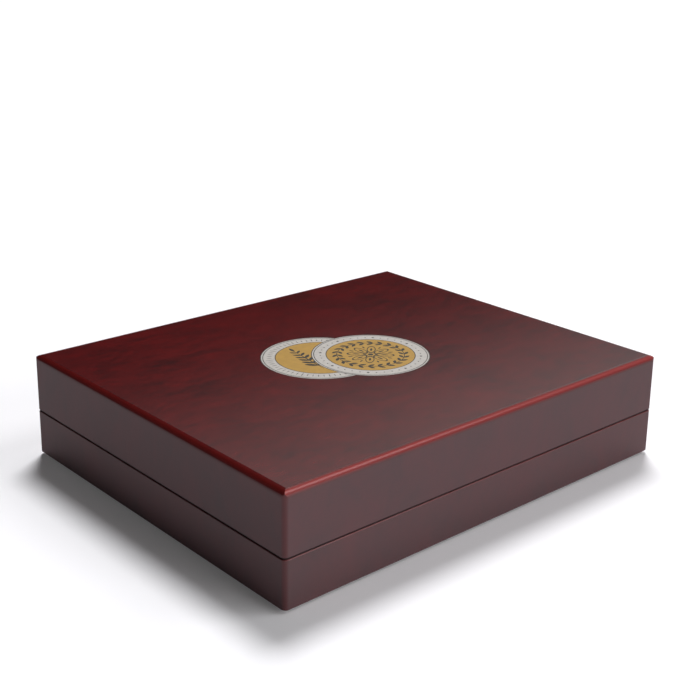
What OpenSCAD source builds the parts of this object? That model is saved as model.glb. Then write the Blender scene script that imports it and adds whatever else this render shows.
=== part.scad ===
// Wooden coin case with a hinged lid, a foil emblem on top and three lift-out trays inside.
// Sizes in millimetres. The origin is at the middle of the felt underside,
// +X runs along the front, -Y faces the front and +Z points up.

/* [Case] */
// Length along the front
case_l = 305; // [270:1:340]
// Depth from front to back
case_d = 252; // [220:1:290]
// Height of the base from its lower edge to the rim
base_h = 28.5; // [25:0.5:36]
// Height of the lid from its rim to its top
lid_h = 37.5; // [33:0.5:46]
// Thickness of the walls
wall_t = 11; // [10:0.5:13]
// Thickness of the bottom panel
bottom_t = 5; // [4:0.5:7]
// Depth of the rebate that holds the bottom panel
rebate_w = 5; // [3:0.5:6]
// Thickness of the top panel over the walls
top_t = 6; // [5:0.5:8]
// Depth of the tongue that locates the top panel between the walls
tongue_h = 2; // [1:0.5:3]
// Radius of the upright corners
corner_r = 3; // [1.5:0.1:5]
// Radius of the round-over along the top edge of the lid
top_edge_r = 4; // [1:0.1:4.5]
// Radius along the rim of the base at the seam
rim_r = 0.8; // [0.4:0.1:1.4]
// Radius along the lower edge of the lid
lid_edge_r = 0.3; // [0.1:0.1:1]
// Height of the shadow gap that runs around the lid over the rim of the base
seam_gap_h = 0.8; // [0.4:0.1:1.5]
// Depth of that gap into the walls of the lid
seam_gap_w = 2; // [1:0.1:3]
// Radius along the lower edge of the base
lower_edge_r = 0.5; // [0.3:0.1:1.2]
// Clearance of the panels in their seats
panel_fit = 0.15; // [0.05:0.05:0.4]

/* [Felt and lining] */
// Thickness of the felt under the base
felt_t = 2; // [1:0.5:4]
// Distance of the felt from the lower edge of the base
felt_inset = 7; // [3:0.5:12]
// Thickness of the felt that lines the floor of the base
lining_t = 1; // [0.6:0.2:2]
// Clearance of linings and pads from the walls
lining_fit = 0.5; // [0.2:0.1:1.5]

/* [Lid pad] */
// Thickness of the board behind the satin pad
board_t = 1.5; // [1:0.5:3]
// Thickness of the satin pad at its edge
pad_edge_t = 1.2; // [0.8:0.1:2]
// Swell of the satin pad at its middle
pad_crown = 2.3; // [1:0.1:3.5]
// Draw-in of the satin pad around its edge
pad_draw = 1; // [0.4:0.1:2]

/* [Trays] */
// Number of coin compartments along a tray
columns = 7; // [5:1:9]
// Number of coin compartments across a tray
rows = 6; // [4:1:8]
// Gap between a tray and the walls
tray_gap = 2; // [1.6:0.1:3]
// Free height between the top tray and the satin pad
headroom = 5; // [4.6:0.1:8]
// Thickness of the rails
rail_t = 4; // [3:0.5:6]
// Radius of the upright corners of the rails
rail_corner_r = 1.5; // [0.8:0.1:3]
// Radius along the edges of the rails
rail_edge_r = 0.5; // [0.2:0.1:0.7]
// Height of the seat that a tray floor has in its rails
seat_h = 1.5; // [1:0.25:2.5]
// Depth of that seat into the rails
seat_w = 2; // [1:0.25:2.5]
// Height of the lip below a tray, which nests in the tray under it
lip_h = 1.5; // [0.75:0.25:2.5]
// Clearance of the nesting lip
lip_fit = 0.4; // [0.2:0.1:0.8]
// Thickness of the velvet on a tray floor
velvet_t = 0.6; // [0.4:0.1:1]
// Thickness of the dividers
divider_t = 2.4; // [1.6:0.2:4]
// Clearance of the dividers at their ends and in their crossing slots
divider_fit = 0.1; // [0.05:0.05:0.3]
// Clearance of the dividers below the next tray
divider_drop = 0.5; // [0.3:0.1:1]

/* [Emblem] */
// Diameter of an emblem disc
disc_d = 76; // [50:1:100]
// Thickness of the emblem foil
foil_t = 0.3; // [0.2:0.05:0.5]
// Distance between the middles of the two discs
disc_step = 32.6; // [15:0.1:50]
// Direction from the rear disc to the front disc
disc_turn = -30; // [-90:1:0]
// Place of the emblem along the lid
emblem_x = -2.5; // [-30:0.5:30]
// Place of the emblem across the lid
emblem_y = -0.5; // [-20:0.5:20]

/* [Hinges] */
// Distance from an end of the case to the middle of a hinge
hinge_inset = 54; // [40:1:90]
// Length of a hinge
hinge_l = 36; // [28:1:50]
// Diameter of the barrel
barrel_d = 4; // [3.6:0.1:5]
// Diameter of the hinge pin
pin_d = 1.8; // [1.2:0.1:2]
// Clearance between the pin and its bore
pin_fit = 0.05; // [0.02:0.01:0.1]
// Radius of a pin head over the pin
pin_head_rim = 0.5; // [0.3:0.1:0.8]
// Thickness of a pin head
pin_head_t = 0.6; // [0.4:0.1:1]
// Width of a leaf from the pin to its front edge
leaf_w = 8.4; // [6.5:0.1:9]
// Thickness of a leaf
leaf_t = 1.2; // [0.8:0.1:1.5]
// Gap between the two closed leaves
leaf_gap = 0.2; // [0.1:0.05:0.4]
// Gap between moving faces of a hinge
run_gap = 0.3; // [0.2:0.05:0.5]
// Clearance of a leaf in its mortise
leaf_fit = 0.1; // [0.05:0.05:0.3]
// Angle at which the stop heel halts the lid
stop_angle = 100; // [92:1:110]
// Reach of the stop heel from the pin
heel_l = 4.6; // [3.8:0.1:6]
// Thickness of the stop heel
heel_t = 1.5; // [1:0.1:2]
// Gap left between the halted heel and the back wall
heel_gap = 0.15; // [0.1:0.05:0.3]
// Diameter of a screw
screw_d = 1.6; // [1.2:0.1:2]
// Diameter of a screw head
screw_head_d = 3.2; // [2.4:0.1:3.6]
// Length of a screw
screw_l = 10; // [6:0.5:14]
// Distance between the two screws of a leaf
screw_step = 22; // [14:1:28]
// Clearance of the screws in their holes
screw_fit = 0.05; // [0.02:0.01:0.1]

/* [Hidden] */
$fn = 64;
tray_names = ["bottom", "middle", "top"];
side_names = ["right", "back", "left", "front"];
tray_count = len(tray_names);

// Overshoot of a cut past the face that it opens
spill = 1;

// Levels
seam_z = felt_t + base_h;
top_z = seam_z + lid_h;
floor_z = felt_t + bottom_t;
wall_top_z = top_z - top_t;
board_z = wall_top_z - tongue_h - board_t;
pad_z = board_z - pad_edge_t - pad_crown;
stack_z = floor_z + lining_t;

// Inside of the case and the trays that fill it
room_l = case_l - 2 * wall_t;
room_d = case_d - 2 * wall_t;
tray_l = room_l - 2 * tray_gap;
tray_d = room_d - 2 * tray_gap;
rail_h = (pad_z - headroom - stack_z - lip_h) / tray_count;
well_l = tray_l - 2 * rail_t;
well_d = tray_d - 2 * rail_t;
cell_l = (well_l - (columns - 1) * divider_t) / columns;
cell_d = (well_d - (rows - 1) * divider_t) / rows;
divider_h = rail_h - seat_h - velvet_t - lip_h - divider_drop;

// Hinge parts
barrel_r = barrel_d / 2;
knuckle_l = (hinge_l - 2 * run_gap) / 3;
screw_y = -(leaf_w + barrel_r + run_gap) / 2;
screw_head_h = (screw_head_d - screw_d) / 2;

// Satin pad grid
pad_columns = 16;
pad_rows = 12;

mahogany = [0.30, 0.06, 0.06];
navy = [0.06, 0.09, 0.25];
ivory = [0.90, 0.86, 0.76];
brass = [0.80, 0.62, 0.28];
silver = [0.76, 0.74, 0.73];

function tray_z(i) = stack_z + lip_h + i * rail_h;
function index_of(name, list) = search([name], list)[0];

// Waste outside a rounded edge, with the middle of its arc at the origin
module edge_waste(r) {
    if (r > 0)
        difference() {
            square(r + spill);
            circle(r = r);
        }
}

// Section through an outer edge, from the middle of the corner radius outwards
module edge_section(r, h, low_r, high_r) {
    difference() {
        square([r, h]);
        translate([r - high_r, h - high_r]) edge_waste(high_r);
        translate([r - low_r, low_r]) mirror([0, 1]) edge_waste(low_r);
    }
}

// Block with rounded upright corners and rounded lower and upper edges
module edged_block(l, d, h, r, low_r, high_r) {
    run_l = l - 2 * r;
    run_d = d - 2 * r;
    translate([-run_l / 2, -run_d / 2, 0]) cube([run_l, run_d, h]);
    for (turn = [0 : 3]) {
        run = turn % 2 == 0 ? run_d : run_l;
        reach = (turn % 2 == 0 ? run_l : run_d) / 2;
        rotate(90 * turn) translate([reach, run / 2, 0]) {
            rotate([90, 0, 0]) linear_extrude(run) edge_section(r, h, low_r, high_r);
            rotate_extrude(angle = 90) edge_section(r, h, low_r, high_r);
        }
    }
}

// Block with rounded upright corners and a round-over along its upper edges, mitred at the corners
module rounded_over_block(l, d, h, r, over_r) {
    difference() {
        edged_block(l, d, h, r, 0, 0);
        for (turn = [0 : 3]) {
            run = (turn % 2 == 0 ? d : l) + 2 * spill;
            reach = (turn % 2 == 0 ? l : d) / 2;
            rotate(90 * turn)
                translate([reach - over_r, run / 2, h - over_r])
                    rotate([90, 0, 0]) linear_extrude(run) edge_waste(over_r);
        }
    }
}

// Plate centred on the origin
module plate(l, d, h) {
    translate([-l / 2, -d / 2, 0]) cube([l, d, h]);
}

// Prism that keeps one side of a frame between its two mitres
module mitre_wedge(l, d, t, h, turn) {
    run = (turn % 2 == 0 ? d : l) / 2;
    reach = (turn % 2 == 0 ? l : d) / 2;
    out = spill;
    in = t + spill;
    rotate(90 * turn)
        linear_extrude(h)
            polygon([
                [reach + out, -run - out], [reach + out, run + out],
                [reach - in, run - in], [reach - in, in - run],
            ]);
}

// Both hinge places, with the pin along X
module hinge_places() {
    for (side = [-1, 1])
        translate([side * (case_l / 2 - hinge_inset), case_d / 2, seam_z]) children();
}

// Screw places of one leaf, from the pin
module screw_places() {
    for (side = [-1, 1]) translate([side * screw_step / 2, screw_y, 0]) children();
}

// Countersunk screw, pointing down from the face of its leaf, grown by a clearance
module screw(grow) {
    translate([0, 0, -screw_head_h - grow])
        cylinder(h = screw_head_h + grow, d1 = screw_d + 2 * grow, d2 = screw_head_d + 2 * grow);
    translate([0, 0, -screw_l - grow]) cylinder(h = screw_l + grow, d = screw_d + 2 * grow);
}

// Room in the base for one hinge: mortise, barrel groove and pilot holes; the lid mirrors it
module hinge_room() {
    room_h = leaf_gap / 2 + leaf_t;
    groove_l = hinge_l + 2 * (pin_head_t + run_gap);
    translate([-hinge_l / 2 - leaf_fit, -leaf_w - leaf_fit, -room_h])
        cube([hinge_l + 2 * leaf_fit, leaf_w + leaf_fit + spill, room_h + spill]);
    translate([-groove_l / 2, 0, 0])
        rotate([0, 90, 0]) cylinder(h = groove_l, r = barrel_r + run_gap);
    translate([0, 0, -leaf_gap / 2]) screw_places() screw(screw_fit);
}

// Section through a knuckle below the closed seam, with the tongue that ties it to its leaf
module knuckle_section() {
    tongue_w = barrel_r + run_gap + spill;
    circle(r = barrel_r);
    translate([-tongue_w, -leaf_gap / 2 - leaf_t]) square([tongue_w, leaf_t]);
}

// Stop heel in section, drawn where it halts against the back wall and swung back to the closed lid
module heel_section() {
    rotate(stop_angle) translate([heel_gap, -heel_l]) square([heel_t, heel_l]);
}

// Section drawn out along the pin from one place to another
module knuckle(from, to) {
    translate([from, 0, 0]) rotate([90, 0, 90]) linear_extrude(to - from) children();
}

// Flat of a leaf, below the closed seam
module leaf_plate() {
    flat_w = leaf_w - barrel_r - run_gap;
    translate([-hinge_l / 2, -leaf_w, -leaf_gap / 2 - leaf_t]) cube([hinge_l, flat_w, leaf_t]);
}

// Bore of the pin and the holes of the screws in a leaf, opened through its face
module leaf_holes() {
    translate([-hinge_l / 2 - spill, 0, 0])
        rotate([0, 90, 0]) cylinder(h = hinge_l + 2 * spill, d = pin_d + 2 * pin_fit);
    translate([0, 0, -leaf_gap / 2])
        screw_places() {
            screw(screw_fit);
            cylinder(h = spill, d = screw_head_d + 2 * screw_fit);
        }
}

// One wall of the base
module base_wall(side) {
    color(mahogany)
        intersection() {
            difference() {
                translate([0, 0, felt_t])
                    edged_block(case_l, case_d, base_h, corner_r, lower_edge_r, rim_r);
                translate([0, 0, floor_z]) plate(room_l, room_d, base_h);
                translate([0, 0, felt_t - spill])
                    plate(room_l + 2 * rebate_w, room_d + 2 * rebate_w, bottom_t + spill);
                hinge_places() hinge_room();
            }
            mitre_wedge(case_l, case_d, wall_t, seam_z, index_of(side, side_names));
        }
}

// Bottom panel, let into the rebate of the walls
module base_bottom_panel() {
    panel_l = room_l + 2 * (rebate_w - panel_fit);
    panel_d = room_d + 2 * (rebate_w - panel_fit);
    color(mahogany) translate([0, 0, felt_t]) plate(panel_l, panel_d, bottom_t);
}

// Felt that the case stands on
module base_underside_felt() {
    color(navy) edged_block(case_l - 2 * felt_inset, case_d - 2 * felt_inset, felt_t, corner_r, 0, 0);
}

// Felt on the floor of the base
module base_lining() {
    color(navy) translate([0, 0, floor_z]) plate(room_l - 2 * lining_fit, room_d - 2 * lining_fit, lining_t);
}

// One wall of the lid
module lid_wall(side) {
    lid_wall_h = lid_h - top_t;
    color(mahogany)
        intersection() {
            difference() {
                translate([0, 0, seam_z]) {
                    translate([0, 0, seam_gap_h])
                        edged_block(case_l, case_d, lid_wall_h - seam_gap_h, corner_r, lid_edge_r, 0);
                    edged_block(case_l - 2 * seam_gap_w, case_d - 2 * seam_gap_w,
                        seam_gap_h + spill, corner_r, 0, 0);
                }
                translate([0, 0, seam_z - spill]) plate(room_l, room_d, lid_wall_h + 2 * spill);
                hinge_places() mirror([0, 0, 1]) hinge_room();
            }
            mitre_wedge(case_l, case_d, wall_t, wall_top_z, index_of(side, side_names));
        }
}

// Top panel, with its tongue between the walls and the recess for the emblem
module lid_top_panel() {
    tongue_l = room_l - 2 * panel_fit;
    tongue_d = room_d - 2 * panel_fit;
    color(mahogany)
        difference() {
            union() {
                translate([0, 0, wall_top_z]) rounded_over_block(case_l, case_d, top_t, corner_r, top_edge_r);
                translate([0, 0, wall_top_z - tongue_h]) plate(tongue_l, tongue_d, tongue_h);
            }
            translate([0, 0, top_z - foil_t]) {
                emblem_disc(-1, foil_t + spill);
                emblem_disc(1, foil_t + spill);
            }
        }
}

// Disc of the emblem: -1 is the rear one, 1 the front one
module emblem_disc(place, h) {
    translate([emblem_x, emblem_y, 0])
        rotate(disc_turn) translate([place * disc_step / 2, 0, 0]) cylinder(h = h, d = disc_d);
}

// Rear disc, covered in part by the front one
module rear_emblem_disc() {
    color(silver)
        translate([0, 0, top_z - foil_t])
            difference() {
                emblem_disc(-1, foil_t);
                translate([0, 0, -spill]) emblem_disc(1, foil_t + 2 * spill);
            }
}

module front_emblem_disc() {
    color(silver) translate([0, 0, top_z - foil_t]) emblem_disc(1, foil_t);
}

// Board that carries the satin pad inside the lid
module lid_pad_board() {
    color(ivory) translate([0, 0, board_z]) plate(room_l - 2 * lining_fit, room_d - 2 * lining_fit, board_t);
}

// Depth of the satin pad below its board, from -1 to 1 across it each way
function pad_depth(u, v) = pad_edge_t + pad_crown * (1 - pow(u, 4)) * (1 - pow(v, 4));

// Satin pad, flat on its board and crowned below
module lid_satin_pad() {
    half_l = room_l / 2 - lining_fit;
    half_d = room_d / 2 - lining_fit;
    across = pad_columns + 1;
    layer = across * (pad_rows + 1);
    steps = [for (j = [0 : pad_rows]) for (i = [0 : pad_columns])
        [2 * i / pad_columns - 1, 2 * j / pad_rows - 1]];
    upper = [for (s = steps) [s.x * half_l, s.y * half_d, board_z]];
    lower = [for (s = steps)
        [s.x * (half_l - pad_draw), s.y * (half_d - pad_draw), board_z - pad_depth(s.x, s.y)]];
    corners = [for (j = [0 : pad_rows - 1]) for (i = [0 : pad_columns - 1]) i + j * across];
    upper_faces = [for (a = corners)
        each [[a, a + across + 1, a + 1], [a, a + across, a + across + 1]]];
    lower_faces = [for (face = upper_faces) [face[0], face[2], face[1]] + layer * [1, 1, 1]];
    rim = [
        each [for (i = [0 : pad_columns - 1]) [i, i + 1]],
        each [for (j = [0 : pad_rows - 1]) [pad_columns + j * across, pad_columns + (j + 1) * across]],
        each [for (i = [0 : pad_columns - 1]) [layer - 1 - i, layer - 2 - i]],
        each [for (j = [0 : pad_rows - 1]) [(pad_rows - j) * across, (pad_rows - j - 1) * across]],
    ];
    side_faces = [for (e = rim) each [[e[0], e[1], e[1] + layer], [e[0], e[1] + layer, e[0] + layer]]];
    color(ivory) polyhedron(concat(upper, lower), concat(upper_faces, lower_faces, side_faces));
}

// Leaves screwed to the base, with the two outer knuckles
module hinge_base_leaves() {
    color(brass)
        hinge_places()
            difference() {
                union() {
                    leaf_plate();
                    knuckle(-hinge_l / 2, -hinge_l / 2 + knuckle_l) knuckle_section();
                    knuckle(hinge_l / 2 - knuckle_l, hinge_l / 2) knuckle_section();
                }
                leaf_holes();
            }
}

// Leaves screwed to the lid, with the middle knuckle and its stop heel
module hinge_lid_leaves() {
    color(brass)
        hinge_places()
            difference() {
                union() {
                    mirror([0, 0, 1]) leaf_plate();
                    knuckle(-knuckle_l / 2, knuckle_l / 2) {
                        mirror([0, 1]) knuckle_section();
                        heel_section();
                    }
                }
                mirror([0, 0, 1]) leaf_holes();
            }
}

// Pins with a head at each end
module hinge_pins() {
    color(brass)
        hinge_places() {
            translate([-hinge_l / 2, 0, 0]) rotate([0, 90, 0]) cylinder(h = hinge_l, d = pin_d);
            for (side = [-1, 1])
                translate([side * (hinge_l + pin_head_t) / 2, 0, 0])
                    rotate([0, 90, 0]) cylinder(h = pin_head_t, d = pin_d + 2 * pin_head_rim, center = true);
        }
}

module hinge_base_screws() {
    color(brass) hinge_places() translate([0, 0, -leaf_gap / 2]) screw_places() screw(0);
}

module hinge_lid_screws() {
    color(brass) hinge_places() mirror([0, 0, 1]) translate([0, 0, -leaf_gap / 2]) screw_places() screw(0);
}

// One rail of a tray, with the seat for its floor
module tray_rail(tray, side) {
    z = tray_z(index_of(tray, tray_names));
    color(mahogany)
        translate([0, 0, z])
            intersection() {
                difference() {
                    edged_block(tray_l, tray_d, rail_h, rail_corner_r, rail_edge_r, rail_edge_r);
                    translate([0, 0, -spill]) {
                        plate(well_l, well_d, rail_h + 2 * spill);
                        plate(well_l + 2 * seat_w, well_d + 2 * seat_w, seat_h + spill);
                    }
                }
                mitre_wedge(tray_l, tray_d, rail_t, rail_h, index_of(side, side_names));
            }
}

// Floor of a tray: seated in the rails above, with the nesting lip below
module tray_floor(tray) {
    seated = 2 * (seat_w - panel_fit);
    color(mahogany)
        translate([0, 0, tray_z(index_of(tray, tray_names))]) {
            plate(well_l + seated, well_d + seated, seat_h);
            translate([0, 0, -lip_h]) plate(well_l - 2 * lip_fit, well_d - 2 * lip_fit, lip_h);
        }
}

module tray_velvet(tray) {
    z = tray_z(index_of(tray, tray_names)) + seat_h;
    color(navy) translate([0, 0, z]) plate(well_l - 2 * divider_fit, well_d - 2 * divider_fit, velvet_t);
}

// Upright strips along X, a pitch apart, slotted from above where the cross strips pass
module tray_long_dividers(tray) {
    z = tray_z(index_of(tray, tray_names)) + seat_h + velvet_t;
    color(navy)
        for (row = [1 : rows - 1])
            translate([0, row * (cell_d + divider_t) - divider_t / 2 - well_d / 2, z])
                difference() {
                    plate(well_l - 2 * divider_fit, divider_t, divider_h);
                    divider_slots(columns, cell_l, well_l, divider_h / 2 - divider_fit);
                }
}

// Upright strips along Y, slotted from below where the long strips pass
module tray_cross_dividers(tray) {
    z = tray_z(index_of(tray, tray_names)) + seat_h + velvet_t;
    color(navy)
        for (column = [1 : columns - 1])
            translate([column * (cell_l + divider_t) - divider_t / 2 - well_l / 2, 0, z])
                rotate(90)
                    difference() {
                        plate(well_d - 2 * divider_fit, divider_t, divider_h);
                        divider_slots(rows, cell_d, well_d, divider_fit - spill);
                    }
}

// Slots half a divider deep, which start at a height above the strip's lower edge
module divider_slots(cells, cell, well, from) {
    slot_w = divider_t + 2 * divider_fit;
    for (i = [1 : cells - 1])
        translate([i * (cell + divider_t) - divider_t / 2 - well / 2, 0, from])
            plate(slot_w, divider_t + 2 * spill, divider_h / 2 + spill);
}

for (side = side_names) {
    base_wall(side);
    lid_wall(side);
}
base_bottom_panel();
base_underside_felt();
base_lining();
lid_top_panel();
lid_pad_board();
lid_satin_pad();
rear_emblem_disc();
front_emblem_disc();
hinge_base_leaves();
hinge_lid_leaves();
hinge_pins();
hinge_base_screws();
hinge_lid_screws();
for (tray = tray_names) {
    for (side = side_names)
        tray_rail(tray, side);
    tray_floor(tray);
    tray_velvet(tray);
    tray_long_dividers(tray);
    tray_cross_dividers(tray);
}
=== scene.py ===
import math

import bmesh
import bpy
from mathutils import Matrix, Vector, noise


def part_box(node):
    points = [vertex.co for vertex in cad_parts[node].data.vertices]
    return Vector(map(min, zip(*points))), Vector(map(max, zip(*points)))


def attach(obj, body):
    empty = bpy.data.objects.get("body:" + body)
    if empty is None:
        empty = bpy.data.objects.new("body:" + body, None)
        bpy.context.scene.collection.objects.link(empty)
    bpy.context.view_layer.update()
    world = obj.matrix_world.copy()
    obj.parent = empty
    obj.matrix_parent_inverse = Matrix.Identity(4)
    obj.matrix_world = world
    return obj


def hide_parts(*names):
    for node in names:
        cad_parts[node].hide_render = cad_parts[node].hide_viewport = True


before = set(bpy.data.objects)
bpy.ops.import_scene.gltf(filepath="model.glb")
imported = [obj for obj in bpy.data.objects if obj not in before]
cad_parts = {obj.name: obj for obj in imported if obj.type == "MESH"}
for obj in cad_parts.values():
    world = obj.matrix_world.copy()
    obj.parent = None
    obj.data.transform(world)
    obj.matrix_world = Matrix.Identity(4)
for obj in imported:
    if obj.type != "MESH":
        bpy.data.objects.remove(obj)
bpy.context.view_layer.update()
mm = 0.001
trayNames = ("bottom", "middle", "top")
sideNames = ("right", "back", "left", "front")
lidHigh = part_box("lid_top_panel")[1]
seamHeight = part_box("lid_front_wall")[0].z
print("frame loaded:", len(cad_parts), "nodes")


# small helpers for node trees and finished pieces
def newMaterial(name):
    material = bpy.data.materials.new(name)
    material.use_nodes = True
    return material, material.node_tree, material.node_tree.nodes["Principled BSDF"]


def addNode(tree, kind, **values):
    made = tree.nodes.new("ShaderNode" + kind)
    for key, value in values.items():
        setattr(made, key, value)
    return made


def setInputs(shaderNode, **values):
    for key, value in values.items():
        shaderNode.inputs[key.replace("_", " ")].default_value = value
    return shaderNode


def feed(tree, socket, value):
    # a socket takes a link, a colour or a number
    if isinstance(value, bpy.types.NodeSocket):
        tree.links.new(value, socket)
    elif isinstance(value, tuple):
        socket.default_value = (*value, 1)
    else:
        socket.default_value = value


def mathOf(tree, operation, first, second=0.0):
    made = addNode(tree, "Math", operation=operation)
    feed(tree, made.inputs[0], first)
    feed(tree, made.inputs[1], second)
    return made.outputs[0]


def blendValues(tree, factor, first, second):
    mix = addNode(tree, "Mix", data_type="FLOAT")
    for place, value in ((0, factor), (2, first), (3, second)):
        feed(tree, mix.inputs[place], value)
    return mix.outputs[0]


def mixColours(tree, blend, amount, first, second):
    mix = addNode(tree, "Mix", data_type="RGBA", blend_type=blend)
    for place, value in ((0, amount), (6, first), (7, second)):
        feed(tree, mix.inputs[place], value)
    return mix.outputs[2]


def rangeOf(tree, factor, low, high, fromLow=0.0, fromHigh=1.0):
    made = addNode(tree, "MapRange")
    for key, value in (("From Min", fromLow), ("From Max", fromHigh), ("To Min", low), ("To Max", high)):
        made.inputs[key].default_value = value
    tree.links.new(factor, made.inputs["Value"])
    return made.outputs["Result"]


def smoothSteps(tree, value, stops):
    rise = rangeOf(tree, value, 0.0, 1.0, stops[0], stops[1])
    fall = rangeOf(tree, value, 1.0, 0.0, stops[2], stops[3])
    for step in (rise, fall):
        step.node.interpolation_type = "SMOOTHSTEP"
    return mathOf(tree, "MULTIPLY", rise, fall)


def rampOf(tree, factor, stops):
    ramp = addNode(tree, "ValToRGB")
    while len(ramp.color_ramp.elements) < len(stops):
        ramp.color_ramp.elements.new(0.5)
    for element, (position, colour) in zip(ramp.color_ramp.elements, stops):
        element.position = position
        element.color = (*colour, 1)
    tree.links.new(factor, ramp.inputs["Fac"])
    return ramp.outputs["Color"]


def objectPlace(tree, scale=(1, 1, 1), turn=(0, 0, 0)):
    source = addNode(tree, "TexCoord")
    mapping = setInputs(addNode(tree, "Mapping"), Scale=scale, Rotation=turn)
    tree.links.new(source.outputs["Object"], mapping.inputs["Vector"])
    return mapping.outputs["Vector"]


def stretched(tree, place, scale):
    mapping = setInputs(addNode(tree, "Mapping"), Scale=scale)
    tree.links.new(place, mapping.inputs["Vector"])
    return mapping.outputs["Vector"]


def noiseAt(tree, place, scale, detail=3.0, roughness=0.5, distortion=0.0):
    made = addNode(tree, "TexNoise")
    setInputs(made, Scale=scale, Detail=detail, Roughness=roughness, Distortion=distortion)
    tree.links.new(place, made.inputs["Vector"])
    return made.outputs["Fac"]


def bumpFrom(tree, shader, height, strength, distance):
    bump = setInputs(addNode(tree, "Bump"), Strength=strength, Distance=distance)
    tree.links.new(height, bump.inputs["Height"])
    tree.links.new(bump.outputs["Normal"], shader.inputs["Normal"])


def finishPiece(name, shape, material, body, stands=(), smooth=40):
    bmesh.ops.recalc_face_normals(shape, faces=shape.faces)
    mesh = bpy.data.meshes.new(name)
    shape.to_mesh(mesh)
    shape.free()
    piece = bpy.data.objects.new(name, mesh)
    bpy.context.scene.collection.objects.link(piece)
    mesh.materials.append(material)
    mesh.shade_smooth()
    mesh.set_sharp_from_angle(angle=math.radians(smooth))
    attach(piece, body)
    if stands:
        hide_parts(*stands)
    return piece


# camera at the photograph's viewing angle
viewpoint = {
    "lens": 64.043, "sensor": 36.0, "shift": -0.10, "place": (-0.49583, -0.55595, 0.34140),
    "azimuth": -41.777, "elevation": 16.720, "roll": 0.834,
}


def placeCamera(view):
    data = bpy.data.cameras.new("viewCamera")
    data.lens, data.sensor_width, data.shift_y = view["lens"], view["sensor"], view["shift"]
    data.clip_start, data.clip_end = 0.01, 100.0
    camera = bpy.data.objects.new("viewCamera", data)
    bpy.context.scene.collection.objects.link(camera)
    turn = Matrix.Rotation(math.radians(view["azimuth"]), 4, "Z")
    tilt = Matrix.Rotation(math.radians(90 - view["elevation"]), 4, "X")
    roll = Matrix.Rotation(math.radians(view["roll"]), 4, "Z")
    camera.matrix_world = Matrix.Translation(view["place"]) @ turn @ tilt @ roll
    bpy.context.scene.camera = camera


placeCamera(viewpoint)

# white sweep, lamps and a wide panel in the sky; azimuths run from the back (+Y) towards the right (+X)
studio = {
    "floorReach": 14.0, "floorTone": (0.955, 0.948, 0.98), "floorLift": 0.075,
    "lamps": {
        "backLamp": {"azimuth": 47, "elevation": 61, "spread": 18, "strength": 2.46},
        "sideLamp": {"azimuth": 129, "elevation": 47, "spread": 24, "strength": 0.70},
        "frontLamp": {"azimuth": 163, "elevation": 18, "spread": 34, "strength": 1.32},
    },
    "dimSky": 0.012, "horizonTone": 0.3, "horizon": (-2.0, 2.0), "lowestSky": 0.02,
    # edges of the panel on a plane one unit overhead: from dark to full and back to dark
    "panelStrength": 1.27, "panelAcross": (0.55, 1.05, 1.3, 5.0), "panelDeep": (-0.4, 0.8, 1.0, 2.25),
}


def skyDirection(azimuth, elevation):
    a, e = math.radians(azimuth), math.radians(elevation)
    return Vector((math.sin(a) * math.cos(e), math.cos(a) * math.cos(e), math.sin(e)))


def buildFloor(look):
    shape = bmesh.new()
    bmesh.ops.create_grid(shape, x_segments=1, y_segments=1, size=look["floorReach"])
    mesh = bpy.data.meshes.new("studioFloor")
    shape.to_mesh(mesh)
    shape.free()
    floor = bpy.data.objects.new("studioFloor", mesh)
    bpy.context.scene.collection.objects.link(floor)
    material, tree, shader = newMaterial("sweepPaper")
    setInputs(shader, Base_Color=(*look["floorTone"], 1), Roughness=1.0, Specular_IOR_Level=0.0)
    path = addNode(tree, "LightPath")
    seen = mathOf(tree, "MAXIMUM", path.outputs["Is Camera Ray"], path.outputs["Is Glossy Ray"])
    seen = mathOf(tree, "MAXIMUM", seen, path.outputs["Is Transmission Ray"])
    shader.inputs["Emission Color"].default_value = (1, 1, 1, 1)
    feed(tree, shader.inputs["Emission Strength"], mathOf(tree, "MULTIPLY", seen, look["floorLift"]))
    mesh.materials.append(material)


def addLamp(name, look):
    data = bpy.data.lights.new(name, "SUN")
    data.energy, data.angle = look["strength"], math.radians(look["spread"])
    lamp = bpy.data.objects.new(name, data)
    bpy.context.scene.collection.objects.link(lamp)
    towards = skyDirection(look["azimuth"], look["elevation"])
    lamp.rotation_euler = towards.to_track_quat("Z", "Y").to_euler()


def buildSky(look):
    world = bpy.data.worlds.new("studioSky")
    bpy.context.scene.world = world
    world.use_nodes = True
    tree = world.node_tree
    parts = addNode(tree, "SeparateXYZ")
    tree.links.new(addNode(tree, "TexCoord").outputs["Generated"], parts.inputs[0])
    low, high = (math.sin(math.radians(e)) for e in look["horizon"])
    openSky = rangeOf(tree, parts.outputs["Z"], look["horizonTone"], look["dimSky"], low, high)
    height = mathOf(tree, "MAXIMUM", parts.outputs["Z"], look["lowestSky"])
    across = smoothSteps(tree, mathOf(tree, "DIVIDE", parts.outputs["X"], height), look["panelAcross"])
    deep = smoothSteps(tree, mathOf(tree, "DIVIDE", parts.outputs["Y"], height), look["panelDeep"])
    panel = mathOf(tree, "MULTIPLY", mathOf(tree, "MULTIPLY", across, deep), look["panelStrength"])
    background = setInputs(tree.nodes["Background"], Color=(1, 1, 1, 1))
    feed(tree, background.inputs["Strength"], mathOf(tree, "ADD", openSky, panel))


buildFloor(studio)
buildSky(studio)
for lampName, lampLook in studio["lamps"].items():
    addLamp(lampName, lampLook)
bpy.context.scene.view_settings.view_transform = "Standard"
print("studio ready")

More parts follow.
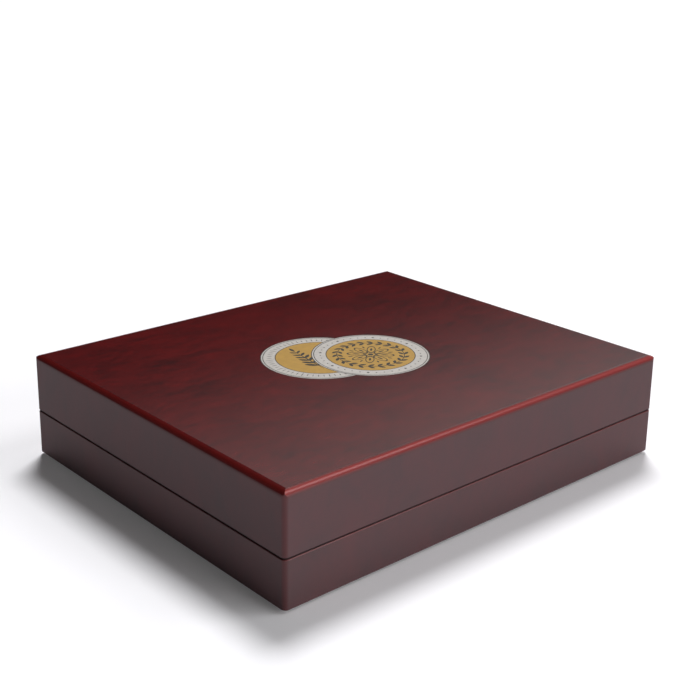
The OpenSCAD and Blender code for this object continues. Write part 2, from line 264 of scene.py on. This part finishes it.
# red-brown lacquered wood with a smoky, feathered figure; a redder tone along its rounded edges with a
# painted highlight on the front ones, a painted reflection of the floor on the walls and painted shade in the
# gap at the seam
lacquer = {
    "tones": (
        (0.37, (0.040, 0.0043, 0.0051)), (0.49, (0.073, 0.0048, 0.0056)), (0.63, (0.106, 0.0055, 0.0061))),
    # grey veil on the walls: a painted reflection of the floor
    "paintedReflection": (0.118, 0.095, 0.101), "paintedReflectionAmount": 0.48,
    # the front edges' lighter pink-red is a painted highlight
    "edge": (0.100, 0.0068, 0.0062), "frontEdgeHighlight": (0.335, 0.050, 0.048), "edgeRoughness": 0.24,
    "edgeAmount": 0.8, "seamShare": 0.4, "cornerShare": 0.35,
    # parts of the surface normal between which the edges get their tone, and the front ones a painted
    # highlight
    "edgeSlopes": (0.1, 0.66, 0.93, 0.995), "cornerSlopes": (0.1, 0.45), "frontHighlightSlopes": (-0.6, -0.2),
    # scale, detail, roughness and distortion of each layer of the figure
    "clouds": (22.0, 3.0, 0.5, 0.4), "mottle": (110.0, 4.0, 0.55, 0.6), "feathers": (300.0, 2.0, 0.5, 0.3),
    "warpScale": 30.0, "warp": 0.014,
    "topStretch": (0.34, 1.0, 1.0), "topShares": (0.28, 0.46, 0.26), "topCalm": (0.1, 0.9),
    "wallStretch": (0.7, 0.7, 0.4), "wallShares": (0.44, 0.44, 0.12), "wallCalm": (0.2, 0.8),
    # millimetres below the lid's top, above the seam where the painted shade in the gap fades, and in from
    # the outside
    "topFade": (4.2, 0.8), "gapShadeFade": (0.02, 0.06, 0.9, 1.4), "gapDeep": 2.2,
    "gapPaintedShade": (0.006, 0.002, 0.002),
    "topRoughness": 0.12, "wallRoughness": 0.62, "sheen": 0.03, "specular": 0.28,
    "pores": (900.0, 2.0), "poreTones": ((0.32, (0.88, 0.88, 0.88)), (0.46, (1, 1, 1))),
    "bump": (0.03, 0.0002),
}


def warpedPlace(tree, look, turn):
    place = objectPlace(tree, turn=turn)
    drift = setInputs(addNode(tree, "TexNoise"), Scale=look["warpScale"], Detail=2.0)
    tree.links.new(place, drift.inputs["Vector"])
    centred = addNode(tree, "VectorMath", operation="SUBTRACT")
    centred.inputs[1].default_value = (0.5, 0.5, 0.5)
    tree.links.new(drift.outputs["Color"], centred.inputs[0])
    moved = addNode(tree, "VectorMath", operation="MULTIPLY_ADD")
    moved.inputs[1].default_value = (look["warp"],) * 3
    tree.links.new(centred.outputs[0], moved.inputs[0])
    tree.links.new(place, moved.inputs[2])
    return moved.outputs[0]


def woodFigure(tree, look, place, part):
    along = stretched(tree, place, look[part + "Stretch"])
    layers = [noiseAt(tree, place, *look["clouds"])]
    layers += [noiseAt(tree, along, *look[layer]) for layer in ("mottle", "feathers")]
    total = 0.0
    for layer, share in zip(layers, look[part + "Shares"]):
        total = mathOf(tree, "ADD", mathOf(tree, "MULTIPLY", layer, share), total)
    return rangeOf(tree, total, *look[part + "Calm"])


def edgeAndHighlightMasks(tree, look):
    # full where a rounded edge lies between level and upright, or between two walls; the front-facing mask
    # carries the painted highlight
    normal = addNode(tree, "SeparateXYZ")
    tree.links.new(addNode(tree, "TexCoord").outputs["Normal"], normal.inputs[0])
    edge = smoothSteps(tree, mathOf(tree, "ABSOLUTE", normal.outputs["Z"]), look["edgeSlopes"])
    between = mathOf(tree, "MULTIPLY", normal.outputs["X"], normal.outputs["Y"])
    corner = rangeOf(tree, mathOf(tree, "ABSOLUTE", between), 0.0, 1.0, *look["cornerSlopes"])
    front = rangeOf(tree, normal.outputs["Y"], 1.0, 0.0, *look["frontHighlightSlopes"])
    return edge, corner, front


def paintedGapShade(tree, look, place):
    # painted shade: dark inside the gap around the lid, and fading out above it
    shares = []
    for axis, outside in (("X", lidHigh.x), ("Y", lidHigh.y)):
        inside = outside - look["gapDeep"] * mm
        shares.append(mathOf(tree, "DIVIDE", mathOf(tree, "ABSOLUTE", place.outputs[axis]), inside))
    inGap = mathOf(tree, "GREATER_THAN", mathOf(tree, "MAXIMUM", *shares), 1.0)
    span = [seamHeight + above * mm for above in look["gapShadeFade"]]
    return mathOf(tree, "MULTIPLY", smoothSteps(tree, place.outputs["Z"], span), inGap)


def lacquerWood(name, look, across=False):
    material, tree, shader = newMaterial(name)
    place = warpedPlace(tree, look, (0, 0, math.radians(90)) if across else (0, 0, 0))
    spot = addNode(tree, "SeparateXYZ")
    tree.links.new(objectPlace(tree), spot.inputs[0])
    fade = [lidHigh.z - below * mm for below in look["topFade"]]
    onTop = rangeOf(tree, spot.outputs["Z"], 0.0, 1.0, *fade)
    wallFigure, topFigure = (woodFigure(tree, look, place, part) for part in ("wall", "top"))
    pores = noiseAt(tree, stretched(tree, place, look["topStretch"]), *look["pores"])
    wood = rampOf(tree, blendValues(tree, onTop, wallFigure, topFigure), look["tones"])
    wood = mixColours(tree, "MULTIPLY", 1.0, wood, rampOf(tree, pores, look["poreTones"]))
    # painted reflection: the walls, not the top, take part of a grey veil that stands in for the floor's
    # reflection
    wood = mixColours(tree, "MIX", rangeOf(tree, onTop, look["paintedReflectionAmount"], 0.0), wood, look["paintedReflection"])
    edge, corner, front = edgeAndHighlightMasks(tree, look)
    wood = mixColours(tree, "MIX", mathOf(tree, "MULTIPLY", corner, look["cornerShare"]), wood, look["edge"])
    share = rangeOf(tree, onTop, look["edgeAmount"] * look["seamShare"], look["edgeAmount"])
    # rounded edges take a redder tone, and those facing the front a painted highlight
    edgeToneAndHighlight = mixColours(tree, "MIX", front, look["edge"], look["frontEdgeHighlight"])
    wood = mixColours(tree, "MIX", mathOf(tree, "MULTIPLY", edge, share), wood, edgeToneAndHighlight)
    # painted shade in the gap at the seam
    wood = mixColours(tree, "MIX", paintedGapShade(tree, look, spot), wood, look["gapPaintedShade"])
    tree.links.new(wood, shader.inputs["Base Color"])
    gloss = rangeOf(tree, onTop, look["wallRoughness"], look["topRoughness"])
    gloss = mathOf(tree, "ADD", gloss, mathOf(tree, "MULTIPLY", pores, look["sheen"]))
    tree.links.new(blendValues(tree, edge, gloss, look["edgeRoughness"]), shader.inputs["Roughness"])
    shader.inputs["Specular IOR Level"].default_value = look["specular"]
    bumpFrom(tree, shader, pores, *look["bump"])
    return material


# the trays' rails have a straight grain along them
railLacquer = dict(
    lacquer, wallRoughness=0.36, edgeAmount=0.5,
    wallStretch=(0.16, 1.0, 1.0), wallShares=(0.3, 0.35, 0.35), wallCalm=(0.0, 1.0))
caseWood = lacquerWood("caseLacquer", lacquer)
railWood = lacquerWood("railLacquer", railLacquer)
railWoodAcross = lacquerWood("railLacquerAcross", railLacquer, True)

# navy velvet, felt, ivory satin, grey card, dark tray board and brass
velvet = {
    "pile": (0.010, 0.016, 0.072), "brushed": (0.017, 0.027, 0.112), "tint": (0.34, 0.44, 0.85),
    "strokes": (60.0, 3.0, 0.6, 0.5), "fibres": (2600.0, 2.0), "bump": (0.5, 0.0003),
}


def velvetCloth(look):
    material, tree, shader = newMaterial("navyVelvet")
    place = objectPlace(tree)
    fibres = noiseAt(tree, place, *look["fibres"])
    strokes = noiseAt(tree, place, *look["strokes"])
    tone = rampOf(tree, strokes, [(0.38, look["pile"]), (0.64, look["brushed"])])
    grain = rampOf(tree, fibres, [(0.30, (0.6, 0.6, 0.6)), (0.62, (1, 1, 1))])
    tree.links.new(mixColours(tree, "MULTIPLY", 1.0, tone, grain), shader.inputs["Base Color"])
    setInputs(shader, Roughness=0.92, Specular_IOR_Level=0.15)
    setInputs(shader, Sheen_Weight=0.85, Sheen_Roughness=0.35, Sheen_Tint=(*look["tint"], 1))
    bumpFrom(tree, shader, fibres, *look["bump"])
    return material


felt = {
    "dark": (0.010, 0.013, 0.034), "light": (0.026, 0.032, 0.070),
    "fibres": (1100.0, 5.0, 0.7, 1.5), "patches": (90.0, 3.0), "bump": (0.6, 0.0006),
}


def feltCloth(look):
    material, tree, shader = newMaterial("navyFelt")
    place = objectPlace(tree)
    fibres = noiseAt(tree, place, *look["fibres"])
    tone = rampOf(tree, fibres, [(0.34, look["dark"]), (0.66, look["light"])])
    patches = noiseAt(tree, place, *look["patches"])
    shade = rampOf(tree, patches, [(0.3, (0.8, 0.8, 0.8)), (0.7, (1, 1, 1))])
    tree.links.new(mixColours(tree, "MULTIPLY", 1.0, tone, shade), shader.inputs["Base Color"])
    setInputs(shader, Roughness=1.0, Specular_IOR_Level=0.1, Sheen_Weight=0.25, Sheen_Roughness=0.6)
    bumpFrom(tree, shader, fibres, *look["bump"])
    return material


satin = {
    "light": (0.80, 0.735, 0.60), "shade": (0.755, 0.685, 0.545),
    "threads": (3200.0, 2.0), "threadStretch": (0.03, 1.0, 1.0), "bump": (0.12, 0.0002),
}


def satinCloth(look):
    material, tree, shader = newMaterial("ivorySatin")
    threads = noiseAt(tree, objectPlace(tree, look["threadStretch"]), *look["threads"])
    tone = rampOf(tree, threads, [(0.3, look["shade"]), (0.66, look["light"])])
    tree.links.new(tone, shader.inputs["Base Color"])
    setInputs(shader, Roughness=0.36, Sheen_Weight=0.2, Sheen_Roughness=0.4, Anisotropic=0.5)
    bumpFrom(tree, shader, threads, *look["bump"])
    return material


board = {
    "dark": (0.055, 0.030, 0.020), "light": (0.095, 0.055, 0.036), "roughness": (0.62, 0.78),
    "chips": (420.0, 5.0, 0.65, 0.8), "chipStretch": (0.5, 1, 1), "bump": (0.15, 0.0003),
}
card = dict(board, dark=(0.30, 0.28, 0.25), light=(0.42, 0.40, 0.36))


def pressedBoard(name, look):
    material, tree, shader = newMaterial(name)
    chips = noiseAt(tree, objectPlace(tree, look["chipStretch"]), *look["chips"])
    tone = rampOf(tree, chips, [(0.34, look["dark"]), (0.68, look["light"])])
    tree.links.new(tone, shader.inputs["Base Color"])
    tree.links.new(rangeOf(tree, chips, *look["roughness"]), shader.inputs["Roughness"])
    bumpFrom(tree, shader, chips, *look["bump"])
    return material


brass = {
    "bright": (0.72, 0.47, 0.17), "dull": (0.52, 0.32, 0.11), "roughness": (0.22, 0.36),
    "strokes": (3200.0, 3.0), "strokeStretch": (0.06, 1, 1), "tarnish": (240.0, 4.0, 0.6),
    "bump": (0.06, 0.0001),
}


def brushedBrass(look):
    material, tree, shader = newMaterial("brushedBrass")
    strokes = noiseAt(tree, objectPlace(tree, look["strokeStretch"]), *look["strokes"])
    tarnish = noiseAt(tree, objectPlace(tree), *look["tarnish"])
    tone = rampOf(tree, tarnish, [(0.32, look["dull"]), (0.62, look["bright"])])
    tree.links.new(tone, shader.inputs["Base Color"])
    tree.links.new(rangeOf(tree, strokes, *look["roughness"], 0.3, 0.7), shader.inputs["Roughness"])
    shader.inputs["Metallic"].default_value = 1.0
    bumpFrom(tree, shader, strokes, *look["bump"])
    return material


navyVelvet = velvetCloth(velvet)
navyFelt = feltCloth(felt)
ivorySatin = satinCloth(satin)
trayBoard = pressedBoard("trayBoard", board)
greyCard = pressedBoard("greyCard", card)
hingeBrass = brushedBrass(brass)


def dressNode(name, material):
    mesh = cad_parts[name].data
    mesh.materials.clear()
    mesh.materials.append(material)


for side in sideNames:
    dressNode(f"base_{side}_wall", caseWood)
    dressNode(f"lid_{side}_wall", caseWood)
    for tray in trayNames:
        dressNode(f"{tray}_tray_{side}_rail", railWood if side in ("front", "back") else railWoodAcross)
for panel in ("base_bottom_panel", "lid_top_panel"):
    dressNode(panel, caseWood)
for tray in trayNames:
    dressNode(f"{tray}_tray_floor", trayBoard)
dressNode("lid_pad_board", greyCard)
for hingePart in ("base_leaves", "lid_leaves", "pins", "base_screws", "lid_screws"):
    dressNode("hinge_" + hingePart, hingeBrass)
print("materials ready")

# printed foil emblem: two overlapping discs with a plain rosette and a leaf spray; sizes in millimetres
emblem = {
    "rear": (-16.62, 7.65), "front": (11.62, -8.65), "radius": 37.9, "core": 28.2,
    "line": 0.5, "rimLine": 36.0, "trimGap": 0.02,
    # depths below the lid's top, and the heights of the print's layers
    "bedDepth": 0.3, "rearDepth": 0.07, "frontDepth": 0.04, "step": 0.012, "inkRoot": 0.1,
    "silver": (0.485, 0.457, 0.428), "gold": (0.43, 0.251, 0.051), "ink": (0.018, 0.016, 0.014),
    "foilMottle": (320.0, 3.0, 0.6), "foilGrain": (2400.0, 2.0), "foilBump": (0.04, 0.0001),
    "foilShades": (0.93, 1.05), "foilSpread": 0.04,
    # rosette: heart, petals with veins and buds, wreath of leaves, beads on the rim
    "heart": 1.7, "heartRing": 2.9, "petals": 8, "petalRing": 9.3, "petalSize": (2.35, 5.0),
    "petalLine": 0.22, "veinRing": 9.0, "vein": (5.2, 1.5), "budRing": 13.6, "bud": (3.4, 1.2),
    "wreathRing": 21.3, "wreathLeaves": 22, "wreathLeaf": (5.0, 2.2),
    "wreathRows": ((19.6, 35), (23.2, -35)),
    "beads": 40, "beadRing": 32.1, "beadSize": 0.62, "beadShares": (1.35, 0.8),
    # spray: stem, pairs of leaves that shrink upwards, ticks on the rim
    "sprayPlace": (-11.0, -17.0), "sprayTurn": 8, "stem": (37.0, 1.0), "stemMiddle": 18,
    "tip": (7.0, 2.2), "tipUp": 39, "sprayLeaves": 6, "firstLeaf": 7, "leafPitch": 5.1,
    "leafLength": 9.0, "leafShrink": 0.75, "leafWidth": 0.36, "leafOut": 0.36, "leafUp": 0.30, "leafLean": 48,
    "ticks": 60, "tickWidth": 0.5, "tickLengths": (5.4, 3.6), "accentEvery": 5,
}


def printFoil(name, look, tone, roughness, metallic):
    material, tree, shader = newMaterial(name)
    place = objectPlace(tree)
    mottle = noiseAt(tree, place, *look["foilMottle"])
    deep, light = (tuple(share * t for t in tone) for share in look["foilShades"])
    spread = look["foilSpread"]
    tree.links.new(rampOf(tree, mottle, [(0.35, deep), (0.65, light)]), shader.inputs["Base Color"])
    tree.links.new(rangeOf(tree, mottle, roughness - spread, roughness + spread), shader.inputs["Roughness"])
    setInputs(shader, Metallic=metallic, Specular_IOR_Level=0.25)
    bumpFrom(tree, shader, noiseAt(tree, place, *look["foilGrain"]), *look["foilBump"])
    return material


silverFoil = printFoil("silverFoil", emblem, emblem["silver"], 0.42, 0.15)
goldFoil = printFoil("goldFoil", emblem, emblem["gold"], 0.40, 0.15)
darkInk = printFoil("darkInk", emblem, emblem["ink"], 0.5, 0.0)


def addDisc(shape, radius, low, high, centre=(0, 0), segments=128):
    made = bmesh.ops.create_circle(shape, cap_ends=True, segments=segments, radius=radius * mm)
    bmesh.ops.translate(shape, verts=made["verts"], vec=Vector((centre[0], centre[1], low)) * mm)
    faces = list({f for v in made["verts"] for f in v.link_faces})
    raised = bmesh.ops.extrude_face_region(shape, geom=faces, use_keep_orig=True)
    top = [v for v in raised["geom"] if isinstance(v, bmesh.types.BMVert)]
    bmesh.ops.translate(shape, verts=top, vec=Vector((0, 0, high - low)) * mm)
    return made["verts"] + top


def addRing(shape, inner, outer, low, high, centre=(0, 0), steps=128):
    corners = [(inner, low), (outer, low), (outer, high), (inner, high)]
    verts = [shape.verts.new(Vector((x, 0, z)) * mm) for x, z in corners]
    edges = [shape.edges.new((verts[i], verts[i - 1])) for i in range(4)]
    before = set(shape.verts) - set(verts)
    bmesh.ops.spin(
        shape, geom=verts + edges, cent=(0, 0, 0), axis=(0, 0, 1),
        angle=2 * math.pi, steps=steps, use_merge=True)
    ring = [v for v in shape.verts if v not in before]
    bmesh.ops.translate(shape, verts=ring, vec=Vector((centre[0], centre[1], 0)) * mm)
    return ring


def addLeaf(shape, length, width, low, high, place):
    leaf = addDisc(shape, 1.0, low, high, segments=14)
    for v in leaf:
        along = v.co.y / mm
        v.co.x *= width / 2 * (1 - 0.55 * along * along)  # pointed at both ends
        v.co.y *= length / 2
    bmesh.ops.transform(shape, verts=leaf, matrix=place)


def turnAndMove(angle, x, y):
    return Matrix.Translation(Vector((x, y, 0)) * mm) @ Matrix.Rotation(math.radians(angle), 4, "Z")


def around(centre, radius, angle):
    a = math.radians(angle)
    return centre[0] + radius * math.cos(a), centre[1] + radius * math.sin(a)


def onRing(centre, radius, angle, lean=-90):
    # points outwards unless it leans over
    return turnAndMove(angle + lean, *around(centre, radius, angle))


def underTop(depth):
    return lidHigh.z / mm - depth


def inkSpan(look, disc):
    top = underTop(look[disc + "Depth"])
    return top - look["inkRoot"], top + 2 * look["step"]


def discLines(shape, look, disc):
    for radius in (look["core"], look["rimLine"], look["radius"] - look["line"]):
        addRing(shape, radius, radius + look["line"], *inkSpan(look, disc), look[disc])


def rosetteInk(shape, look):
    centre, span = look["front"], inkSpan(look, "front")
    addDisc(shape, look["heart"], *span, centre, 24)
    addRing(shape, look["heartRing"], look["heartRing"] + look["line"], *span, centre, 48)
    for i in range(look["petals"]):
        step = 360 / look["petals"]
        angle, between = step * i, step * (i + 0.5)
        petal = addRing(shape, 1.0, 1.0 + look["petalLine"], *span, steps=32)
        for v in petal:
            v.co.x *= look["petalSize"][0]
            v.co.y *= look["petalSize"][1]
        bmesh.ops.transform(shape, verts=petal, matrix=onRing(centre, look["petalRing"], angle))
        addLeaf(shape, *look["vein"], *span, onRing(centre, look["veinRing"], angle))
        addLeaf(shape, *look["bud"], *span, onRing(centre, look["budRing"], between))
    addRing(shape, look["wreathRing"], look["wreathRing"] + look["line"], *span, centre)
    for i in range(look["wreathLeaves"]):
        angle = 360 / look["wreathLeaves"] * i
        for radius, lean in look["wreathRows"]:
            addLeaf(shape, *look["wreathLeaf"], *span, onRing(centre, radius, angle, lean))
    for i in range(look["beads"]):
        spot = around(centre, look["beadRing"], 360 / look["beads"] * i)
        share = look["beadShares"][0 if i % look["accentEvery"] == 0 else 1]
        addDisc(shape, look["beadSize"] * share, *span, spot, 14)


def sprayInk(shape, look):
    centre, span = look["rear"], inkSpan(look, "rear")
    foot = Vector([middle + offset for middle, offset in zip(centre, look["sprayPlace"])])
    turn = look["sprayTurn"]
    up = Vector((math.sin(math.radians(turn)), math.cos(math.radians(turn))))
    addLeaf(shape, *look["stem"], *span, turnAndMove(-turn, *(foot + up * look["stemMiddle"])))
    for i in range(look["sprayLeaves"]):
        stem = foot + up * (look["firstLeaf"] + look["leafPitch"] * i)
        size = look["leafLength"] - look["leafShrink"] * i
        for hand in (-1, 1):
            side = Vector((up.y, -up.x)) * hand
            spot = stem + side * size * look["leafOut"] + up * size * look["leafUp"]
            leafPlace = turnAndMove(-turn - hand * look["leafLean"], *spot)
            addLeaf(shape, size, size * look["leafWidth"], *span, leafPlace)
    addLeaf(shape, *look["tip"], *span, turnAndMove(-turn, *(foot + up * look["tipUp"])))
    for i in range(look["ticks"]):
        angle = 360 / look["ticks"] * i
        length = look["tickLengths"][0 if i % look["accentEvery"] == 0 else 1]
        addLeaf(shape, length, look["tickWidth"], *span, onRing(centre, look["beadRing"], angle))


def trimUnder(shape, look):
    # the front disc covers part of the rear one
    cutShape = bmesh.new()
    cutSpan = underTop(look["bedDepth"]) - 1, underTop(look["frontDepth"]) + 1
    addDisc(cutShape, look["radius"] + look["trimGap"], *cutSpan, look["front"])
    pieces = []
    for name, source in (("trimmed", shape), ("trimmer", cutShape)):
        bmesh.ops.recalc_face_normals(source, faces=source.faces)
        mesh = bpy.data.meshes.new(name)
        source.to_mesh(mesh)
        source.free()
        piece = bpy.data.objects.new(name, mesh)
        bpy.context.scene.collection.objects.link(piece)
        pieces.append(piece)
    target, cutter = pieces
    trim = target.modifiers.new("trim", "BOOLEAN")
    trim.operation, trim.object, trim.solver, trim.use_self = "DIFFERENCE", cutter, "EXACT", True
    bpy.context.view_layer.update()
    result = bmesh.new()
    result.from_mesh(target.evaluated_get(bpy.context.evaluated_depsgraph_get()).to_mesh())
    for piece in pieces:
        mesh = piece.data
        bpy.data.objects.remove(piece)
        bpy.data.meshes.remove(mesh)
    return result


def buildEmblem(look):
    bed = underTop(look["bedDepth"])
    for disc, addPrint in (("rear", sprayInk), ("front", rosetteInk)):
        top, centre = underTop(look[disc + "Depth"]), look[disc]
        rim, core, ink = bmesh.new(), bmesh.new(), bmesh.new()
        addRing(rim, look["core"], look["radius"], bed, top, centre)
        addDisc(core, look["core"], bed, top + look["step"], centre)
        discLines(ink, look, disc)
        addPrint(ink, look)
        parts = (("Rim", rim, silverFoil), ("Core", core, goldFoil), ("Ink", ink, darkInk))
        for part, shape, material in parts:
            if disc == "rear":
                shape = trimUnder(shape, look)
            stands = (f"{disc}_emblem_disc",) if part == "Rim" else ()
            finishPiece(f"{disc}Emblem{part}", shape, material, "lid", stands)


buildEmblem(emblem)
print("emblem ready")

# satin pad in the lid: crowned, rolled at its edges and drawn in little puckers there; sizes in millimetres
pad = {
    "across": 140, "deep": 116, "edge": 0.8, "spare": 0.5,
    "roll": 16.0, "rollShare": 0.80, "crownReach": 95.0,
    "puckerPitch": 12.0, "puckerHeight": 0.6, "puckerReach": 34.0, "puckerStart": 2.5, "puckerFade": 1.5,
    "puckerDrift": 0.9, "driftScale": 45, "puckerMean": 0.6, "puckerSpread": 0.7, "spreadScale": 70,
    "wave": 0.55, "drawIn": 1.1, "drawReach": 3.0, "fill": 0.7,
}


def padSwell(look, reach):
    lift = min(1.0, reach / look["roll"])
    rolled = look["rollShare"] * math.sqrt(1 - (1 - lift) ** 2)
    return rolled + (1 - look["rollShare"]) * min(1.0, reach / look["crownReach"])


def padPucker(look, reach, along):
    # folds of uneven strength and spacing that fade away from the edge
    fade = max(0.0, 1 - reach / look["puckerReach"]) ** look["puckerFade"]
    fade *= min(1.0, reach / look["puckerStart"])
    spread = noise.noise(Vector((along * look["spreadScale"], 5.3, 1.9)))
    fade *= look["puckerMean"] + look["puckerSpread"] * spread
    drift = noise.noise(Vector((along * look["driftScale"], reach * 0.02, 3.1)))
    turns = along / mm / look["puckerPitch"] + look["puckerDrift"] * drift
    return fade * math.sin(2 * math.pi * turns) * look["puckerHeight"]


def buildPad(look):
    low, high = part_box("lid_satin_pad")
    halfX, halfY, thick = (high.x - low.x) / 2, (high.y - low.y) / 2, (high.z - low.z) / mm
    drawIn = look["drawIn"] * mm
    shape = bmesh.new()
    bmesh.ops.create_grid(shape, x_segments=look["across"], y_segments=look["deep"], size=1.0)
    for v in shape.verts:
        fromX, fromY = (1 - abs(v.co.x)) * halfX / mm, (1 - abs(v.co.y)) * halfY / mm
        draw = drawIn * (1 - min(1.0, min(fromX, fromY) / look["drawReach"]))
        x, y = v.co.x * (halfX - draw), v.co.y * (halfY - draw)
        swell = padSwell(look, fromX) * padSwell(look, fromY)
        pucker = padPucker(look, fromX, y) + padPucker(look, fromY, x)
        slant = Vector((x * 12 + y * 10, y * 48 - x * 20, 0.7))  # long, slanting ripples
        ripple = look["wave"] * noise.noise(slant) * swell
        depth = look["edge"] + (thick - look["edge"] - look["spare"]) * swell + pucker + ripple
        v.co = Vector((x, y, high.z - min(depth, thick) * mm))
    raised = bmesh.ops.extrude_edge_only(shape, edges=[e for e in shape.edges if e.is_boundary])
    for v in raised["geom"]:
        if isinstance(v, bmesh.types.BMVert):
            v.co.x *= halfX / (halfX - drawIn)
            v.co.y *= halfY / (halfY - drawIn)
            v.co.z = high.z
    bmesh.ops.contextual_create(shape, geom=[e for e in shape.edges if e.is_boundary])
    piece = finishPiece("satinPad", shape, ivorySatin, "lid", ("lid_satin_pad",), 70)


buildPad(pad)

# felt under the case and on the floor inside it
felts = {
    "base_underside_felt": {
        "name": "undersideFelt", "corner": 3.0, "soft": 0.5, "rests": "base_bottom_panel",
    },
    "base_lining": {
        "name": "floorLining", "corner": 1.0, "soft": 0.25, "rests": "base_bottom_panel",
    },
}


def softenEdges(shape, edges, offset, segments):
    bmesh.ops.bevel(
        shape, geom=edges, offset=offset * mm, affect="EDGES", segments=segments, profile=0.5, material=-1)


def buildFelt(nodeName, look):
    low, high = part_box(nodeName)
    size, middle = high - low, (high + low) / 2
    shape = bmesh.new()
    bmesh.ops.create_cube(shape, size=1.0)
    bmesh.ops.scale(shape, verts=shape.verts, vec=size)
    bmesh.ops.translate(shape, verts=shape.verts, vec=middle)
    upright = [e for e in shape.edges if abs(e.verts[0].co.z - e.verts[1].co.z) > size.z / 2]
    softenEdges(shape, upright, look["corner"], 5)
    level = [e for e in shape.edges if abs(e.verts[0].co.z - e.verts[1].co.z) < 1e-6]
    softenEdges(shape, level, look["soft"], 3)
    piece = finishPiece(look["name"], shape, navyFelt, "case_base", (nodeName,))


for feltNode, feltLook in felts.items():
    buildFelt(feltNode, feltLook)

# velvet on the tray floors, swelling a little in each compartment between the dividers
trayCloth = {"columns": 7, "rows": 6, "steps": 8, "swell": 0.28}


def buildTrayVelvet(tray, look):
    nodeName = f"{tray}_tray_velvet"
    low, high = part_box(nodeName)
    size, middle = high - low, (high + low) / 2
    columns, rows, steps = look["columns"], look["rows"], look["steps"]
    shape = bmesh.new()
    bmesh.ops.create_grid(shape, x_segments=columns * steps, y_segments=rows * steps, size=0.5)
    for v in shape.verts:
        swell = look["swell"] * mm
        for place, count in ((v.co.x + 0.5, columns), (v.co.y + 0.5, rows)):
            inCell = abs((place * count) % 1.0 - 0.5) * 2
            swell *= max(0.0, 1 - inCell ** 6)
        v.co = Vector((middle.x + v.co.x * size.x, middle.y + v.co.y * size.y, high.z + swell))
    raised = bmesh.ops.extrude_edge_only(shape, edges=[e for e in shape.edges if e.is_boundary])
    for v in raised["geom"]:
        if isinstance(v, bmesh.types.BMVert):
            v.co.z = low.z
    bmesh.ops.contextual_create(shape, geom=[e for e in shape.edges if e.is_boundary])
    piece = finishPiece(f"{tray}TrayVelvet", shape, navyVelvet, f"{tray}_tray", (nodeName,))


# velvet-wrapped dividers with soft upper edges
dividers = {"soft": 0.85, "segments": 3}


def buildDividers(tray, run, look):
    nodeName = f"{tray}_tray_{run}_dividers"
    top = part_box(nodeName)[1].z
    shape = bmesh.new()
    shape.from_mesh(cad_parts[nodeName].data)
    bmesh.ops.remove_doubles(shape, verts=shape.verts, dist=1e-6)
    bmesh.ops.dissolve_limit(shape, angle_limit=math.radians(1), verts=shape.verts, edges=shape.edges)
    upper = [e for e in shape.edges if all(abs(v.co.z - top) < 1e-6 for v in e.verts)]
    softenEdges(shape, upper, look["soft"], look["segments"])
    name = f"{tray}Tray{run.capitalize()}Dividers"
    finishPiece(name, shape, navyVelvet, f"{tray}_tray", (nodeName,))


for tray in trayNames:
    buildTrayVelvet(tray, trayCloth)
    for run in ("long", "cross"):
        buildDividers(tray, run, dividers)
print("cloth and trays ready")
